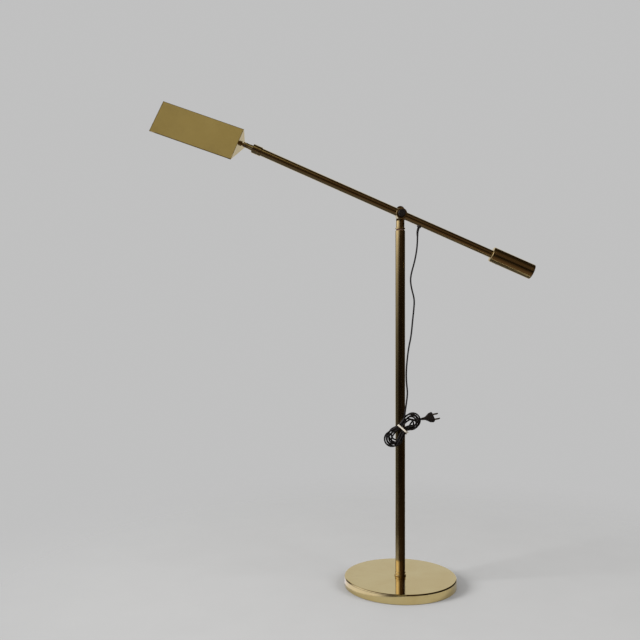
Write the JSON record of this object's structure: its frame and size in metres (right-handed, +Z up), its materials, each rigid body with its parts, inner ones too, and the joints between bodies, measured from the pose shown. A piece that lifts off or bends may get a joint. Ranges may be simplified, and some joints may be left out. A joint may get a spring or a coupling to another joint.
{
  "type": "reading lamp",
  "caption": "Counterbalanced reading lamp: tilting arm with a folded metal shade and a counterweight on a slim pole over a round weighted base, its cord tied up in a hank.",
  "frame": {"origin": "centre of the underside of the round base", "axes": "+Z up, +X towards the counterweight, -Y towards the front where the pivot knob is"},
  "size_m": [0.8638, 0.254, 1.0954],
  "materials": {
    "felt": "woven felt",
    "weight": "as cast",
    "brass": "polished, lightly aged",
    "shade_brass": "polished, olive reflection",
    "steel": "zinc plated",
    "fibre": "vulcanised fibre",
    "cord_skin": "glossy",
    "plug_skin": "moulded, glossy",
    "tie_paper": "paper-backed wire",
    "insulator": "unglazed white",
    "key_plastic": "moulded",
    "bulb_metal": "bright",
    "bulb_frost": "frosted"
  },
  "bodies": {
    "stand": {"base_felt": "felt", "base_weight": "weight", "base_cover": "brass", "base_washer": "steel", "base_bolt": "steel", "foot_ring": "brass", "pole_tube": "brass", "pole_plug": "brass", "cord_free": "cord_skin", "cord_hank": "cord_skin", "cord_tie": "tie_paper", "plug_body": "plug_skin", "plug_blades": "brass"},
    "head": {"swivel_post": "brass", "thrust_washer": "fibre", "swivel_washer": "steel", "swivel_nut": "steel", "pivot_bolt": "brass", "pivot_washer": "fibre"},
    "knob": {"pivot_knob": "brass"},
    "arm": {"arm_tube": "brass", "arm_hub": "brass", "knob_washer": "brass", "cord_bushing": "brass", "end_ferrule": "brass", "counterweight_collar": "brass", "counterweight_drum": "brass", "counterweight_cap": "brass", "counterweight_grub": "steel"},
    "neck": {"neck_stem": "brass", "neck_nut": "steel", "knuckle_screw": "brass", "knuckle_nut": "brass"},
    "shade": {"shade_knuckle": "brass", "lock_nut": "brass", "plate_nut": "brass", "shade_end_near": "brass", "shade_end_far": "brass", "shade_shell": "shade_brass", "socket_cap": "brass", "socket_shell": "brass", "socket_insert": "insulator", "bulb_cap": "bulb_metal", "bulb_glass": "bulb_frost"},
    "key": {"switch_key": "key_plastic"}
  },
  "joints": [
    {"name": "column_swivel", "type": "hinge", "parent": "stand", "child": "head", "pos_m": [0, 0, 0.8082], "axis": [0, 0, 1], "range_deg": [-150, 150], "deforming": ["cord_free"]},
    {"name": "arm_tilt", "type": "hinge", "parent": "head", "child": "arm", "pos_m": [0, -0.0195, 0.843], "axis": [0, 1, 0], "range_deg": [-60, 25], "deforming": ["cord_free"]},
    {"name": "knob_turn", "type": "hinge", "parent": "head", "child": "knob", "pos_m": [0, -0.0321, 0.843], "axis": [0, 1, 0], "range_deg": [-180, 180]},
    {"name": "shade_roll", "type": "hinge", "parent": "arm", "child": "neck", "pos_m": [-0.33462, -0.0195, 0.99128], "axis": [-0.9143, 0, 0.4051], "range_deg": [-62, 118]},
    {"name": "shade_tilt", "type": "hinge", "parent": "neck", "child": "shade", "pos_m": [-0.3518, -0.0195, 0.9989], "axis": [0.1902, 0.8829, 0.4292], "range_deg": [-45.2, 54.8]},
    {"name": "key_turn", "type": "hinge", "parent": "shade", "child": "key", "pos_m": [-0.38634, -0.01806, 1.01124], "axis": [-0.28, 0.4678, -0.8383], "range_deg": [0, 90]}
  ]
}
